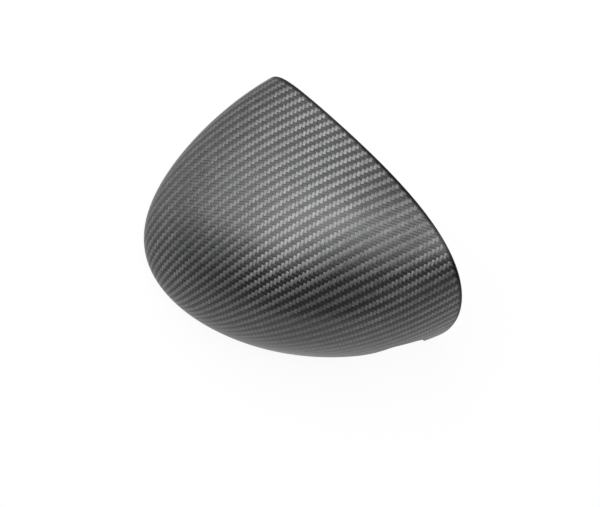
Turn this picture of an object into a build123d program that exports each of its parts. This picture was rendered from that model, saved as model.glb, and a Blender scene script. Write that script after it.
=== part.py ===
from build123d import *
from math import cos, exp, log, radians, sin, tan
import os

# Wing mirror cover: one carbon laminate shell, lying on its lower edge, as it sits on the mirror.
# +Z is up, -Y is the front of the car, -X the outer tip and +X the end beside the door.
# The origin is on the lower edge's plane, at the middle of the cover's plan. Lengths are in millimetres.

# Plan of the lower edge, from the point midway between its two rear corners: half its width, its reach to
# the front, and how far it leans outward over that reach at the outer tip, the nose and the inner end
half_width = 93.7
front_reach = 126.8
outer_skew = 7.8
nose_skew = 27.2
inner_skew = 22.7

# Rise of the dome over its plan: at the crown, the outer tip, the inner end and the nose. The crown is moved
# outward, and the shoulder is the share by which the inner half is fuller than the outer half
crown_rise = 57.4
outer_rise = 21.0
inner_rise = 155.0
nose_rise = 69.0
crown_shift = 38.1
shoulder = 0.173

# Rear opening: degrees that its plane leans back, and the rounding where it meets the lower edge
rear_lean = 22.5
outer_corner_radius = 5.0
inner_corner_radius = 10.0

# Relief for the mirror's arm in the lower edge of the inner end: how far its foot, crest and rear side lie in
# front of the rear corners, its height at the crest and the rear side, and its two upper corners' rounding
relief_foot = 50.0
relief_crest = 28.0
relief_side = 10.5
relief_height = 23.0
relief_side_height = 20.0
relief_radius = 6.0

# Laminate, with its outer edge eased all the way round
wall = 2.0
edge_break = 0.9

# Sheet that the shell is trimmed from, in degrees: its middle leans forward, its borders run past both cuts
sheet_tilt = 40.0
sheet_across = 105.0
sheet_front = 65.0
sheet_rear = 62.0
rows_across = 33
rows_along = 21
sheet_degree = 3
sheet_tolerance = 0.001
trim_margin = 40.0
measure_tolerance = 0.0005


# Point of the outer skin in a unit direction from the middle of the plan
def dome_point(to_inner, to_rear, up):
    swell = log(inner_rise / outer_rise) / 2 * to_inner
    swell += log(inner_rise * outer_rise / crown_rise ** 2) / 2 * to_inner ** 2
    swell += shoulder * (to_inner - to_inner ** 3)
    swell -= log(nose_rise / crown_rise) * to_rear
    skew = nose_skew + (inner_skew - outer_skew) / 2 * to_inner
    skew += ((inner_skew + outer_skew) / 2 - nose_skew) * to_inner ** 2
    x = half_width * to_inner + skew * to_rear - crown_shift * up ** 2
    y = front_reach * to_rear
    z = crown_rise * exp(swell) * up
    return (x, y, z)


# Point of the sheet at two angles from its middle: across the car, and fore and aft
def sheet_point(across, along):
    tilt = radians(sheet_tilt)
    outward = cos(along) * cos(across)
    to_inner = cos(along) * sin(across)
    to_rear = sin(along) * cos(tilt) - outward * sin(tilt)
    up = outward * cos(tilt) + sin(along) * sin(tilt)
    return dome_point(to_inner, to_rear, up)


def even_angles(first, last, count):
    return [radians(first + (last - first) * i / (count - 1)) for i in range(count)]


def outer_sheet():
    rows = [
        [sheet_point(across, along) for along in even_angles(-sheet_front, sheet_rear, rows_along)]
        for across in even_angles(-sheet_across, sheet_across, rows_across)
    ]
    return Face.make_surface_from_array_of_points(rows, sheet_tolerance, None, sheet_degree, sheet_degree)


# Space that one half of the shell keeps: above the lower edge and in front of the leaning rear plane
def trim_block(corner_radius, length):
    top = inner_rise + trim_margin
    front = -front_reach - trim_margin
    back = top * tan(radians(rear_lean))
    side = make_face(Polyline((front, 0), (0, 0), (back, top), (front, top), close=True))
    corner = side.vertices().sort_by_distance((0, 0, 0))[0]
    return extrude(Plane.YZ * fillet(corner, corner_radius), amount=length)


# Space that the mirror's arm takes out of the inner end
def relief_block(length):
    crest = (-relief_crest, relief_height)
    heel = (-relief_side, relief_side_height)
    below = -trim_margin
    outline = [(-relief_foot, 0), crest, heel, (-relief_side, below), (-relief_foot, below)]
    side = make_face(Polyline(*outline, close=True))
    upper = side.vertices().filter_by_position(Axis.Y, relief_side_height, relief_height)
    return extrude(Plane.YZ * fillet(upper, relief_radius), amount=length)


def cover_shell():
    laminate = Solid.thicken(outer_sheet(), -wall)
    reach = half_width + crown_shift + trim_margin
    shell = laminate & (trim_block(inner_corner_radius, reach) + trim_block(outer_corner_radius, -reach))
    shell -= relief_block(reach)
    skin = shell.faces().sort_by(SortBy.AREA)[-1]
    return shell.chamfer(edge_break, edge_break, skin.edges())


# The shell moved so that the middle of its plan is over the origin
def centred(shell):
    points, triangles = shell.tessellate(measure_tolerance)
    across = [p.X for p in points]
    along = [p.Y for p in points]
    return Pos(-(min(across) + max(across)) / 2, -(min(along) + max(along)) / 2, 0) * shell


mirror_cover = centred(cover_shell())

os.makedirs("parts", exist_ok=True)
export_step(mirror_cover, "parts/mirror_cover.step")
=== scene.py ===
import bmesh
import bpy
from math import cos, exp, hypot, log, pi, radians, sin, sqrt, tan
from mathutils import Matrix, Vector
from mathutils.kdtree import KDTree


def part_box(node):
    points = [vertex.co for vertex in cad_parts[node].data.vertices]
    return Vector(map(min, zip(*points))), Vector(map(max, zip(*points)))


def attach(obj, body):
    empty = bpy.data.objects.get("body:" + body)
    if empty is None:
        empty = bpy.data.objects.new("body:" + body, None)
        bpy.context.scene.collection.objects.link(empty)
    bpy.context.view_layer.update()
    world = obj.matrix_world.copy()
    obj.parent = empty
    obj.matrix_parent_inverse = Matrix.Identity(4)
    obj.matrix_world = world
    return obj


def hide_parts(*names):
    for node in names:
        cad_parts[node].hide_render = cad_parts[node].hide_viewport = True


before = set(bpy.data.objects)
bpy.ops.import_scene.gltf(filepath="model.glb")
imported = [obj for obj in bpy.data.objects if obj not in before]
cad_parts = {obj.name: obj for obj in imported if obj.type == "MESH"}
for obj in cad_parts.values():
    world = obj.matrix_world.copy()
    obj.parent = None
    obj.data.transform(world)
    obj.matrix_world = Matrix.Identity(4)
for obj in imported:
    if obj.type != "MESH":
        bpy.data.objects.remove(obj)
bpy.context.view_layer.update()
print("frame loaded")

# outer skin, in millimetres and degrees, from the point midway between the two rear corners
dome = {
    "halfWidth": 93.7, "frontReach": 126.8,
    "outerSkew": 7.8, "noseSkew": 27.2, "innerSkew": 22.7,
    "crownRise": 57.4, "outerRise": 21.0, "innerRise": 155.0, "noseRise": 69.0,
    "crownShift": 38.1, "shoulder": 0.173,
}


def domePoint(toInner, toRear, up):
    swell = log(dome["innerRise"] / dome["outerRise"]) / 2 * toInner
    swell += log(dome["innerRise"] * dome["outerRise"] / dome["crownRise"] ** 2) / 2 * toInner ** 2
    swell += dome["shoulder"] * (toInner - toInner ** 3)
    swell -= log(dome["noseRise"] / dome["crownRise"]) * toRear
    skew = dome["noseSkew"] + (dome["innerSkew"] - dome["outerSkew"]) / 2 * toInner
    skew += ((dome["innerSkew"] + dome["outerSkew"]) / 2 - dome["noseSkew"]) * toInner ** 2
    return Vector((
        dome["halfWidth"] * toInner + skew * toRear - dome["crownShift"] * up ** 2,
        dome["frontReach"] * toRear,
        dome["crownRise"] * exp(swell) * up))


# shell cut from that skin; its outer edge is eased by a small radius, and the relief lets the mirror's arm out
shellCut = {
    "wall": 2.0, "easing": 1.0, "rearLean": 22.5, "outerCorner": 5.0, "innerCorner": 10.0,
    "relief": ((-61.0, -11.5), (-28.0, 23.0), (-10.5, 20.0), (-10.5, -20.0)), "reliefRadius": 6.0,
    "columns": 220, "rows": 96, "easedRows": (0.0, 0.02, 0.09, 0.22, 0.42, 0.68, 1.0),
    "arcSamples": 120, "firstTurn": -0.1, "surestArc": 60, "widestArc": 89.9,
    "edgeHalvings": 22, "endHalvings": 24, "weld": 1e-7,
}


# place on one arc over the dome, sunk below the skin by a depth
def arcPoint(across, turn, depth=0.0):
    p = domePoint(sin(across), -cos(across) * cos(turn), cos(across) * sin(turn))
    if depth:
        nudge = 4e-3
        a = arcPoint(across + nudge, turn) - arcPoint(across - nudge, turn)
        b = arcPoint(across, turn + nudge) - arcPoint(across, turn - nudge)
        p = p - a.cross(b).normalized() * depth
    return p


# the two unknowns of ax + by = e and cx + dy = f, or nothing where the two lines are alike
def solvePair(a, b, c, d, e, f):
    det = a * d - b * c
    if abs(det) <= 1e-9:
        return Vector((0, 0))
    return Vector(((e * d - b * f) / det, (a * f - e * c) / det))


# relief drawn in from its sides by the rounding, so that the rounded form is all that lies near it
def reliefCore():
    path, radius = [Vector(p) for p in shellCut["relief"]], shellCut["reliefRadius"]
    lines = []
    for a, b in zip(path, path[1:]):
        run = (b - a).normalized()
        inward = Vector((run.y, -run.x))
        lines.append((inward, inward.dot(a) + radius))
    corners = [solvePair(m.x, m.y, n.x, n.y, mLevel, nLevel)
               for (m, mLevel), (n, nLevel) in zip(lines, lines[1:])]
    return lines, [path[0] + lines[0][0] * radius] + corners + [path[-1] + lines[-1][0] * radius]


reliefLines, reliefPath = reliefCore()


def reliefRoom(p):
    spot = Vector((p.y, p.z))
    away = 1e9
    for a, b in zip(reliefPath, reliefPath[1:]):
        run = b - a
        share = min(max((spot - a).dot(run) / run.dot(run), 0), 1)
        away = min(away, (spot - a - run * share).length)
    within = all(spot.dot(inward) > level for inward, level in reliefLines)
    return (-away if within else away) - shellCut["reliefRadius"]


# how far a point is inside the cut, seen from the side: lower edge, leaning rear plane, rounded corner, relief
def trimRoom(p, inner):
    lean = radians(shellCut["rearLean"])
    corner = shellCut["innerCorner" if inner else "outerCorner"]
    tangent = corner / tan((pi / 2 + lean) / 2)
    along = p.y * sin(lean) + p.z * cos(lean)
    toRear = p.z * sin(lean) - p.y * cos(lean)
    room = min(p.z, toRear)
    if p.y > -tangent and along < tangent:
        room = corner - hypot(p.y + tangent, p.z - corner)
    return min(room, reliefRoom(p)) if inner else room


# first and last turn of an arc that keep some room from the cut
def arcSpan(across, depth, room=0.0):
    def kept(turn):
        return trimRoom(arcPoint(across, turn, depth), across > 0) >= room

    def border(good, bad):
        for _ in range(shellCut["edgeHalvings"]):
            mid = (good + bad) / 2
            good, bad = (mid, bad) if kept(mid) else (good, mid)
        return good

    count, start = shellCut["arcSamples"], shellCut["firstTurn"]
    turns = [start + (pi - start) * i / count for i in range(count + 1)]
    inside = [t for t in turns if kept(t)]
    if not inside:
        return None
    step = turns[1] - turns[0]
    return border(inside[0], inside[0] - step), border(inside[-1], inside[-1] + step)


# outermost arc that the rounded corner leaves anything of
def lastArc(side, depth):
    good, bad = side * radians(shellCut["surestArc"]), side * radians(shellCut["widestArc"])
    for _ in range(shellCut["endHalvings"]):
        mid = (good + bad) / 2
        good, bad = (mid, bad) if arcSpan(mid, depth) else (good, mid)
    return good


# turns of one column, from the lower edge at the front to the rear edge
# the outer skin has close rows where its edge is eased
def columnTurns(across, depth):
    rows = shellCut["rows"]
    if depth:
        first, last = arcSpan(across, depth)
        return [first + (last - first) * i / rows for i in range(rows + 1)]
    spans = []
    for part in shellCut["easedRows"]:
        span = arcSpan(across, depth, part * shellCut["easing"])
        if span is None:
            mid = (spans[-1][0] + spans[-1][1]) / 2
            span = (mid, mid)
        spans.append(span)
    first, last = spans[-1]
    between = rows - 2 * (len(spans) - 1)
    turns = [s[0] for s in spans]
    turns += [first + (last - first) * i / between for i in range(1, between)]
    return turns + [s[1] for s in reversed(spans)]


def layGrid(bm, depth):
    columns, rows = shellCut["columns"], shellCut["rows"]
    grid = bmesh.ops.create_grid(bm, x_segments=columns, y_segments=rows, size=1.0)["verts"]
    ends = {side: lastArc(side, depth) for side in (-1, 1)}
    easing = shellCut["easing"]
    kept = {}
    for v in grid:
        c, r = round((v.co.x + 1) * columns / 2), round((v.co.y + 1) * rows / 2)
        if c not in kept:
            s = 2 * c / columns - 1
            across = ends[1 if s > 0 else -1] * (abs(s) + sin(abs(s) * pi / 2)) / 2
            turns = columnTurns(across, depth)
            # each end of the grid closes to one point
            kept[c] = across, [turns[rows // 2]] * (rows + 1) if c in (0, columns) else turns
        across, turns = kept[c]
        sunk = depth
        if not depth:
            room = min(max(trimRoom(arcPoint(across, turns[r]), across > 0), 0), easing)
            sunk = easing - sqrt(easing ** 2 - (easing - room) ** 2)
        v.co = arcPoint(across, turns[r], sunk)
    return grid


bm = bmesh.new()
outer = layGrid(bm, 0.0)
inner = layGrid(bm, shellCut["wall"])
innerFaces = {f for v in inner for f in v.link_faces}
bmesh.ops.reverse_faces(bm, faces=list(innerFaces))
rimEdges = [e for e in bm.edges if e.is_boundary]
rimFaces = bmesh.ops.bridge_loops(bm, edges=rimEdges)["faces"]
print("skin", len(bm.verts), "verts,", len(rimFaces), "rim faces")

# cloth laid from the crown: a net of equal steps that shears as it drapes; tow width and steps in millimetres
cloth = {
    "crownAt": (18.9, -25.2), "weftTurn": 38.2, "warpTurn": 132.3, "weftBend": -0.00119, "warpBend": 0.0003,
    "tow": 2.087, "step": 4.0, "reach": 42, "lean": 40.0,
    "startRounds": 25, "towRounds": 6, "knotRounds": 8,
    "slack": 0.01, "leastSpan": 0.3, "patchEnds": (1.9, 1.25), "nearest": 4, "soften": 1e-4,
}


def skinPoint(q):
    tilt = radians(cloth["lean"])
    outward = cos(q.y) * cos(q.x)
    return domePoint(cos(q.y) * sin(q.x), sin(q.y) * cos(tilt) - outward * sin(tilt),
                     outward * cos(tilt) + sin(q.y) * sin(tilt))


# a point of the skin and its two slopes there
def skinFrame(q):
    nudge = 2e-3
    a, b = Vector((nudge, 0)), Vector((0, nudge))
    alongA = (skinPoint(q + a) - skinPoint(q - a)) / (2 * nudge)
    alongB = (skinPoint(q + b) - skinPoint(q - b)) / (2 * nudge)
    return skinPoint(q), alongA, alongB


def placeOnPlan(x, y):
    q = Vector((0.0, 0.0))
    for _ in range(cloth["startRounds"]):
        p, pa, pb = skinFrame(q)
        q = q + solvePair(pa.x, pb.x, pa.y, pb.y, x - p.x, y - p.y)
    return q


# one tow laid over the skin with an even, slight bend
def laidTow(start, heading, bend):
    _, pa, pb = skinFrame(start)
    dq = solvePair(pa.x, pb.x, pa.y, pb.y, cos(heading), sin(heading))
    along = (pa * dq.x + pb * dq.y).normalized()
    step, tow = cloth["step"], [start]
    for _ in range(cloth["reach"]):
        q = tow[-1]
        p, pa, pb = skinFrame(q)
        normal = pa.cross(pb).normalized()
        along = (along - normal * along.dot(normal)).normalized()
        along = (along + normal.cross(along) * bend * step).normalized()
        side = normal.cross(along)
        q = q + solvePair(pa.dot(pa), pa.dot(pb), pa.dot(pb), pb.dot(pb),
                          pa.dot(along) * step, pb.dot(along) * step)
        for _ in range(cloth["towRounds"]):
            p2, a2, b2 = skinFrame(q)
            r = p2 - p
            q = q - solvePair(2 * r.dot(a2), 2 * r.dot(b2), a2.dot(side), b2.dot(side),
                              r.dot(r) - step * step, r.dot(side))
        along = (skinPoint(q) - p) / step
        tow.append(q)
    return tow


# knot that closes a cell whose other three knots are laid, one step from both of its neighbours
def closeCell(a, b, c):
    step = cloth["step"]
    pa, pb, pc = skinPoint(a), skinPoint(b), skinPoint(c)
    q = a + b - c
    for _ in range(cloth["knotRounds"]):
        p, ja, jb = skinFrame(q)
        ra, rb = p - pa, p - pb
        q = q - solvePair(2 * ra.dot(ja), 2 * ra.dot(jb), 2 * rb.dot(ja), 2 * rb.dot(jb),
                          ra.dot(ra) - step * step, rb.dot(rb) - step * step)
    p = skinPoint(q)
    even = all(abs((p - near).length - step) < cloth["slack"] for near in (pa, pb))
    parted = (p - pc).length > cloth["leastSpan"] * step
    onPatch = abs(q.x) < cloth["patchEnds"][0] and abs(q.y) < cloth["patchEnds"][1]
    return q if even and parted and onPatch else None


def drapeNet():
    reach, start, net = cloth["reach"], placeOnPlan(*cloth["crownAt"]), {}
    for sign, turn in ((1, 0), (-1, 180)):
        for i, q in enumerate(laidTow(start, radians(cloth["weftTurn"] + turn), sign * cloth["weftBend"])):
            net[(sign * i, 0)] = q
        for j, q in enumerate(laidTow(start, radians(cloth["warpTurn"] + turn), sign * cloth["warpBend"])):
            net[(0, sign * j)] = q
    for su, sv in ((1, 1), (1, -1), (-1, 1), (-1, -1)):
        for i in range(1, reach + 1):
            for j in range(1, reach + 1):
                near = [net.get((su * (i - a), sv * (j - b))) for a, b in ((1, 0), (0, 1), (1, 1))]
                knot = closeCell(*near) if None not in near else None
                if knot is not None:
                    net[(su * i, sv * j)] = knot
    return {k: skinPoint(q) for k, q in net.items()}


knots = drapeNet()
fullKnots = [(i, j) for i, j in knots
             if (i + 1, j) in knots and (i - 1, j) in knots and (i, j + 1) in knots and (i, j - 1) in knots]
knotTree = KDTree(len(fullKnots))
for n, k in enumerate(fullKnots):
    knotTree.insert(knots[k], n)
knotTree.balance()


# where a point lies in the cloth, counted in tows
def clothPlace(p):
    total, weight = Vector((0, 0)), 0.0
    for co, n, dist in knotTree.find_n(p, cloth["nearest"]):
        i, j = fullKnots[n]
        du = (knots[(i + 1, j)] - knots[(i - 1, j)]) / 2
        dv = (knots[(i, j + 1)] - knots[(i, j - 1)]) / 2
        r = p - co
        local = solvePair(du.dot(du), du.dot(dv), du.dot(dv), dv.dot(dv), r.dot(du), r.dot(dv))
        w = 1 / (dist * dist + cloth["soften"])
        total += (Vector((i, j)) + local) * w
        weight += w
    return total / weight * cloth["step"] / cloth["tow"]


# faces carry the outer twill, the inner twill or the cut edge, in that order
weaveLayer = bm.loops.layers.uv.new("weave")
# the second map holds the distance to the cut edge for the painted edge shade, and which side is inner for the
# cut edge's layers
plyAndEdgeShadeLayer = bm.loops.layers.uv.new("plies")
places = {v: clothPlace(v.co) for v in bm.verts}
# millimetres from the cut edge, kept to paint a band of shade along the outer skin's edge
edgeShadeRoom = {v: max(trimRoom(v.co, v.co.x > 0), 0) for v in outer}
innerVerts = set(inner)
rimSet = set(rimFaces)
for face in bm.faces:
    face.smooth = True
    face.material_index = 2 if face in rimSet else 1 if face in innerFaces else 0
    for loop in face.loops:
        loop[weaveLayer].uv = places[loop.vert]
        loop[plyAndEdgeShadeLayer].uv = (edgeShadeRoom.get(loop.vert, 0), 1.0 if loop.vert in innerVerts else 0.0)
for edge in bm.edges:
    if len({f.material_index for f in edge.link_faces} & {1, 2}) == 2:
        edge.smooth = False
print("cloth laid,", len(knots), "knots")

# into the shared frame, in metres
millimetre = 0.001
low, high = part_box("mirror_cover")
lowEnds = [min(v.co[k] for v in bm.verts) for k in range(3)]
highEnds = [max(v.co[k] for v in bm.verts) for k in range(3)]
fit = Vector([min(millimetre, (high[k] - low[k]) / (highEnds[k] - lowEnds[k])) for k in range(3)])
shift = ((low[0] + high[0]) / 2 - fit.x * (lowEnds[0] + highEnds[0]) / 2,
         low[1] - fit.y * lowEnds[1], low[2] - fit.z * lowEnds[2])
bmesh.ops.scale(bm, verts=bm.verts, vec=fit)
bmesh.ops.translate(bm, verts=bm.verts, vec=shift)
bmesh.ops.remove_doubles(bm, verts=bm.verts, dist=shellCut["weld"])
shellMesh = bpy.data.meshes.new("coverShell")
bm.to_mesh(shellMesh)
bm.free()
shell = bpy.data.objects.new("coverShell", shellMesh)
bpy.context.scene.collection.objects.link(shell)
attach(shell, "root")
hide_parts("mirror_cover")
print("shell made,", len(shellMesh.polygons), "faces")


# value nodes, each given sockets or plain numbers
def calc(tree, operation, *values):
    node = tree.nodes.new("ShaderNodeMath")
    node.operation = operation
    for socket, value in zip(node.inputs, values):
        if isinstance(value, (int, float)):
            socket.default_value = value
        else:
            tree.links.new(value, socket)
    return node.outputs[0]


def blend(tree, share, first, second, kind="MIX"):
    node = tree.nodes.new("ShaderNodeMix")
    node.data_type = "RGBA"
    node.blend_type = kind
    for socket, value in zip((node.inputs[0], node.inputs[6], node.inputs[7]), (share, first, second)):
        if isinstance(value, (int, float, tuple)):
            socket.default_value = value
        else:
            tree.links.new(value, socket)
    return node.outputs[2]


def spread(tree, value, low, high, toLow, toHigh):
    node = tree.nodes.new("ShaderNodeMapRange")
    for name, number in zip(("From Min", "From Max", "To Min", "To Max"), (low, high, toLow, toHigh)):
        node.inputs[name].default_value = number
    tree.links.new(value, node.inputs["Value"])
    return node.outputs[0]


def newMaterial(name):
    material = bpy.data.materials.new(name)
    material.use_nodes = True
    return material, material.node_tree, material.node_tree.nodes["Principled BSDF"]


# twill: each tow passes over two and under two, one step on from its neighbour; limbTone tints glancing gloss
twillWeave = {
    "repeat": 4.0, "overPhase": 1.5, "towPower": 6.0, "floatPower": 2.0, "gapShare": 0.25,
    "strandScale": (7.0, 1.1, 7.3), "strandDetail": 3.0, "strandRange": (0.3, 0.7), "quarterTurn": 0.25,
}
# warp floats are painted lighter and weft floats darker, though both are the same fibre: painted sheen and
# painted shade for how the light falls on each direction
glossTwill = {
    "warpToneWithPaintedSheen": (0.150, 0.151, 0.153, 1), "weftToneWithPaintedShade": (0.054, 0.0543, 0.055, 1),
    "gapTone": (0.025, 0.025, 0.026, 1),
    "metallic": 0.85, "roughness": (0.33, 0.43), "gloss": 0.5, "anisotropy": 0.95, "floatHeight": 0.00018,
    "strandTone": (0.6, 1.4), "floatTone": (0.88, 1.12), "limbTone": (0.4, 0.4, 0.4, 1),
    # the edge tone and width paint a dark band of shade along the outer cut edge
    "coat": 0.4, "coatRoughness": 0.28, "edgePaintedShadeTone": (0.006, 0.006, 0.007, 1), "edgePaintedShadeWidth": (1.7, 3.2),
}
# the inner face has the same painted sheen on its warp floats and painted shade on its weft floats
innerTwill = {
    "warpToneWithPaintedSheen": (0.070, 0.071, 0.073, 1), "weftToneWithPaintedShade": (0.030, 0.0305, 0.032, 1),
    "gapTone": (0.008, 0.008, 0.009, 1),
    "metallic": 0.0, "roughness": (0.52, 0.68), "gloss": 0.3, "anisotropy": 0.5, "floatHeight": 0.00020,
    "strandTone": (0.75, 1.25), "floatTone": (0.85, 1.15), "limbTone": (1, 1, 1, 1),
    # the edge tone and width are set so that the inner face gets no painted edge shade
    "coat": 0.25, "coatRoughness": 0.5, "edgePaintedShadeTone": (0.012, 0.012, 0.013, 1), "edgePaintedShadeWidth": (-0.2, -0.1),
}


def twillMaterial(name, look):
    material, t, shader = newMaterial(name)
    repeat, strandRange = twillWeave["repeat"], twillWeave["strandRange"]
    uv = t.nodes.new("ShaderNodeUVMap")
    uv.uv_map = "weave"
    parts = t.nodes.new("ShaderNodeSeparateXYZ")
    t.links.new(uv.outputs[0], parts.inputs[0])
    u, v = parts.outputs[0], parts.outputs[1]
    i, j = calc(t, "FLOOR", u), calc(t, "FLOOR", v)
    phase = calc(t, "FLOORED_MODULO", calc(t, "SUBTRACT", i, j), repeat)
    warpUp = calc(t, "LESS_THAN", phase, twillWeave["overPhase"])
    weftUp = calc(t, "SUBTRACT", 1.0, warpUp)

    def either(warp, weft):
        return calc(t, "ADD", calc(t, "MULTIPLY", warp, warpUp), calc(t, "MULTIPLY", weft, weftUp))

    # across a tow from -1 to 1, and along its float from -1 to 1
    across = calc(t, "MULTIPLY_ADD", calc(t, "FRACT", either(u, v)), 2.0, -1.0)
    warpRun = calc(t, "ADD", calc(t, "SUBTRACT", v, i), 1.0)
    weftRun = calc(t, "SUBTRACT", calc(t, "SUBTRACT", u, j), 2.0)
    run = either(warpRun, weftRun)
    along = calc(t, "SUBTRACT", calc(t, "FLOORED_MODULO", run, repeat), 1.0)
    crown = calc(t, "SUBTRACT", 1.0, calc(t, "POWER", calc(t, "ABSOLUTE", across), twillWeave["towPower"]))
    dip = calc(t, "SUBTRACT", 1.0, calc(t, "POWER", calc(t, "ABSOLUTE", along), twillWeave["floatPower"]))
    height = calc(t, "MULTIPLY", crown, dip)
    # floats differ a little from one another
    which = t.nodes.new("ShaderNodeCombineXYZ")
    t.links.new(either(i, j), which.inputs[0])
    t.links.new(calc(t, "FLOOR", calc(t, "DIVIDE", run, repeat)), which.inputs[1])
    t.links.new(warpUp, which.inputs[2])
    chance = t.nodes.new("ShaderNodeTexWhiteNoise")
    t.links.new(which.outputs[0], chance.inputs["Vector"])
    # filaments along each tow
    place = t.nodes.new("ShaderNodeCombineXYZ")
    placed = either(u, v), either(v, u), warpUp
    for socket, value, scale in zip(place.inputs, placed, twillWeave["strandScale"]):
        t.links.new(calc(t, "MULTIPLY", value, scale), socket)
    strands = t.nodes.new("ShaderNodeTexNoise")
    strands.inputs["Scale"].default_value = 1.0
    strands.inputs["Detail"].default_value = twillWeave["strandDetail"]
    t.links.new(place.outputs[0], strands.inputs["Vector"])
    # warp floats take the lighter tone and weft floats the darker: painted sheen and painted shade, not a
    # difference in the fibre
    tone = blend(t, warpUp, look["weftToneWithPaintedShade"], look["warpToneWithPaintedSheen"])
    strandTone = spread(t, strands.outputs[0], *strandRange, *look["strandTone"])
    floatTone = spread(t, chance.outputs["Value"], 0.0, 1.0, *look["floatTone"])
    tone = blend(t, 1.0, blend(t, 1.0, tone, strandTone, "MULTIPLY"), floatTone, "MULTIPLY")
    tone = blend(t, spread(t, height, 0.0, twillWeave["gapShare"], 0.0, 1.0), look["gapTone"], tone)
    rim = t.nodes.new("ShaderNodeUVMap")
    rim.uv_map = "plies"
    fromRim = t.nodes.new("ShaderNodeSeparateXYZ")
    t.links.new(rim.outputs[0], fromRim.inputs[0])
    # painted shade: the outer skin is darkened within a few millimetres of its cut edge
    tone = blend(t, spread(t, fromRim.outputs[0], *look["edgePaintedShadeWidth"], 0.0, 1.0), look["edgePaintedShadeTone"], tone)
    t.links.new(tone, shader.inputs["Base Color"])
    t.links.new(spread(t, strands.outputs[0], *strandRange, *look["roughness"]), shader.inputs["Roughness"])
    bump = t.nodes.new("ShaderNodeBump")
    bump.inputs["Distance"].default_value = look["floatHeight"]
    t.links.new(height, bump.inputs["Height"])
    t.links.new(bump.outputs[0], shader.inputs["Normal"])
    tangent = t.nodes.new("ShaderNodeTangent")
    tangent.direction_type = "UV_MAP"
    tangent.uv_map = "weave"
    t.links.new(tangent.outputs[0], shader.inputs["Tangent"])
    # gloss runs along the tow that is on top
    turn = calc(t, "MULTIPLY", warpUp, twillWeave["quarterTurn"])
    t.links.new(turn, shader.inputs["Anisotropic Rotation"])
    evenSockets = (
        ("Anisotropic", "anisotropy"), ("Metallic", "metallic"), ("Specular IOR Level", "gloss"),
        ("Specular Tint", "limbTone"), ("Coat Weight", "coat"), ("Coat Roughness", "coatRoughness"),
    )
    for socket, key in evenSockets:
        shader.inputs[socket].default_value = look[key]
    return material


# cut edge: resin and ends of the cloth in thin layers
cutEdge = {
    "layers": 5.0, "layerEdge": (0.1, 0.3), "roughness": 0.45,
    "fibreTone": (0.030, 0.030, 0.031, 1), "resinTone": (0.012, 0.012, 0.013, 1),
}


def edgeMaterial(look):
    material, t, shader = newMaterial("cutEdge")
    uv = t.nodes.new("ShaderNodeUVMap")
    uv.uv_map = "plies"
    parts = t.nodes.new("ShaderNodeSeparateXYZ")
    t.links.new(uv.outputs[0], parts.inputs[0])
    layer = calc(t, "PINGPONG", calc(t, "MULTIPLY", parts.outputs[1], look["layers"]), 0.5)
    tone = blend(t, spread(t, layer, *look["layerEdge"], 0.0, 1.0), look["resinTone"], look["fibreTone"])
    t.links.new(tone, shader.inputs["Base Color"])
    shader.inputs["Roughness"].default_value = look["roughness"]
    return material


shellMesh.materials.append(twillMaterial("glossTwill", glossTwill))
shellMesh.materials.append(twillMaterial("innerTwill", innerTwill))
shellMesh.materials.append(edgeMaterial(cutEdge))
print("materials made")

# camera straight above, with the outer tip at the top of the picture
# its lens is very long, as the photo has no convergence
view = {
    "lens": 900.0, "sensor": 36.0, "clipEnd": 100,
    "pictureWidth": 0.3636, "aimAt": (0.0058, 0.0025, 0.045), "pictureUp": (-0.839, 0.545, 0),
}
cameraData = bpy.data.cameras.new("camera")
cameraData.lens, cameraData.sensor_width = view["lens"], view["sensor"]
cameraData.clip_end = view["clipEnd"]
camera = bpy.data.objects.new("camera", cameraData)
bpy.context.scene.collection.objects.link(camera)
pictureUp = Vector(view["pictureUp"]).normalized()
pictureRight = pictureUp.cross(Vector((0, 0, 1)))
turned = Matrix((pictureRight, pictureUp, (0, 0, 1))).transposed().to_4x4()
stand = Vector(view["aimAt"]) + Vector((0, 0, view["pictureWidth"] * view["lens"] / view["sensor"]))
camera.matrix_world = Matrix.Translation(stand) @ turned
bpy.context.scene.camera = camera

# white table, the same to the camera as in what the shell mirrors
table = {"size": 1.5, "tone": (0.86, 0.86, 0.86, 1), "roughness": 0.7, "glow": 0.93, "white": 1.0}
tableForm = bmesh.new()
bmesh.ops.create_grid(tableForm, x_segments=2, y_segments=2, size=table["size"])
tableMesh = bpy.data.meshes.new("table")
tableForm.to_mesh(tableMesh)
tableForm.free()
floor = bpy.data.objects.new("table", tableMesh)
bpy.context.scene.collection.objects.link(floor)
tableLook, t, shader = newMaterial("tableWhite")
shader.inputs["Base Color"].default_value = table["tone"]
shader.inputs["Roughness"].default_value = table["roughness"]
glow = t.nodes.new("ShaderNodeEmission")
rays = t.nodes.new("ShaderNodeLightPath")
mirrored = calc(t, "MAXIMUM", rays.outputs["Is Glossy Ray"], rays.outputs["Is Transmission Ray"])
seen = calc(t, "MAXIMUM", rays.outputs["Is Camera Ray"], mirrored)
glow.inputs["Strength"].default_value = table["white"]
white = t.nodes.new("ShaderNodeMixShader")
t.links.new(calc(t, "MULTIPLY", seen, table["glow"]), white.inputs[0])
t.links.new(shader.outputs[0], white.inputs[1])
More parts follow.
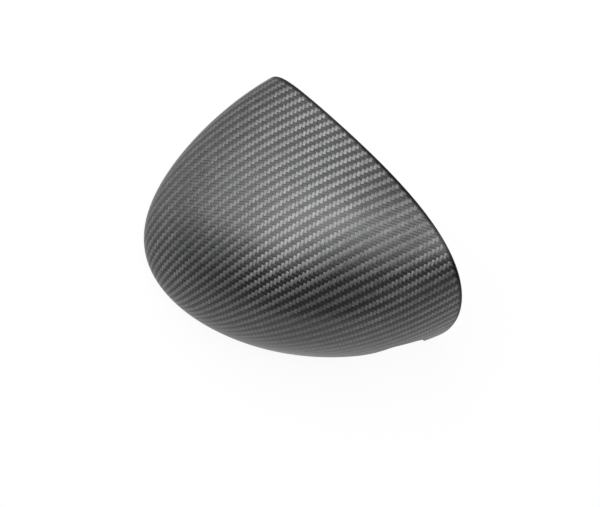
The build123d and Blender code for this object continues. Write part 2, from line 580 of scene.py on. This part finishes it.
t.links.new(glow.outputs[0], white.inputs[2])
t.links.new(white.outputs[0], t.nodes["Material Output"].inputs["Surface"])
tableMesh.materials.append(tableLook)

# soft boxes, placed in metres to the right, up the picture and towards the camera
lamps = {
    "keyLow": {"at": (-0.63, 0.97, 0.39), "wide": 1.64, "deep": 0.5, "power": 6.4},
    "keyHigh": {"at": (-0.59, 0.67, 0.84), "wide": 1.1, "deep": 0.62, "power": 8.8},
    "farHigh": {"at": (0.18, 0.82, 0.89), "wide": 0.9, "deep": 0.6, "power": 3.6},
    "crownBox": {"at": (-0.04, 0.48, 1.13), "wide": 0.9, "deep": 0.5, "power": 2.8},
    "topBox": {"at": (0.40, 0.0, 1.15), "wide": 0.7, "deep": 0.6, "power": 1.8},
    "sideBox": {"at": (0.92, 0.25, 0.73), "wide": 0.9, "deep": 0.7, "power": 7.3},
    "leftBox": {"at": (-0.76, 0.06, 0.97), "wide": 0.5, "deep": 0.9, "power": 2.2},
    "frontFill": {"at": (0.56, -0.97, 0.45), "wide": 0.55, "deep": 0.5, "power": 0.6},
}
lampAim = Vector((0, 0, 0.04))
for name, lamp in lamps.items():
    data = bpy.data.lights.new(name, "AREA")
    data.shape = "RECTANGLE"
    data.size, data.size_y, data.energy = lamp["wide"], lamp["deep"], lamp["power"]
    box = bpy.data.objects.new(name, data)
    bpy.context.scene.collection.objects.link(box)
    right, up, near = lamp["at"]
    box.location = pictureRight * right + pictureUp * up + Vector((0, 0, near))
    toward = (lampAim - box.location).normalized()
    level = toward.cross(Vector((0, 0, 1))).normalized()
    box.rotation_euler = Matrix((level, level.cross(toward), -toward)).transposed().to_euler()

studio = {"tone": (1, 1, 1, 1), "strength": 0.15}
world = bpy.data.worlds.new("studio")
world.use_nodes = True
backdrop = world.node_tree.nodes["Background"]
backdrop.inputs["Color"].default_value = studio["tone"]
backdrop.inputs["Strength"].default_value = studio["strength"]
bpy.context.scene.world = world
bpy.context.scene.view_settings.view_transform = "Standard"
print("stage set")
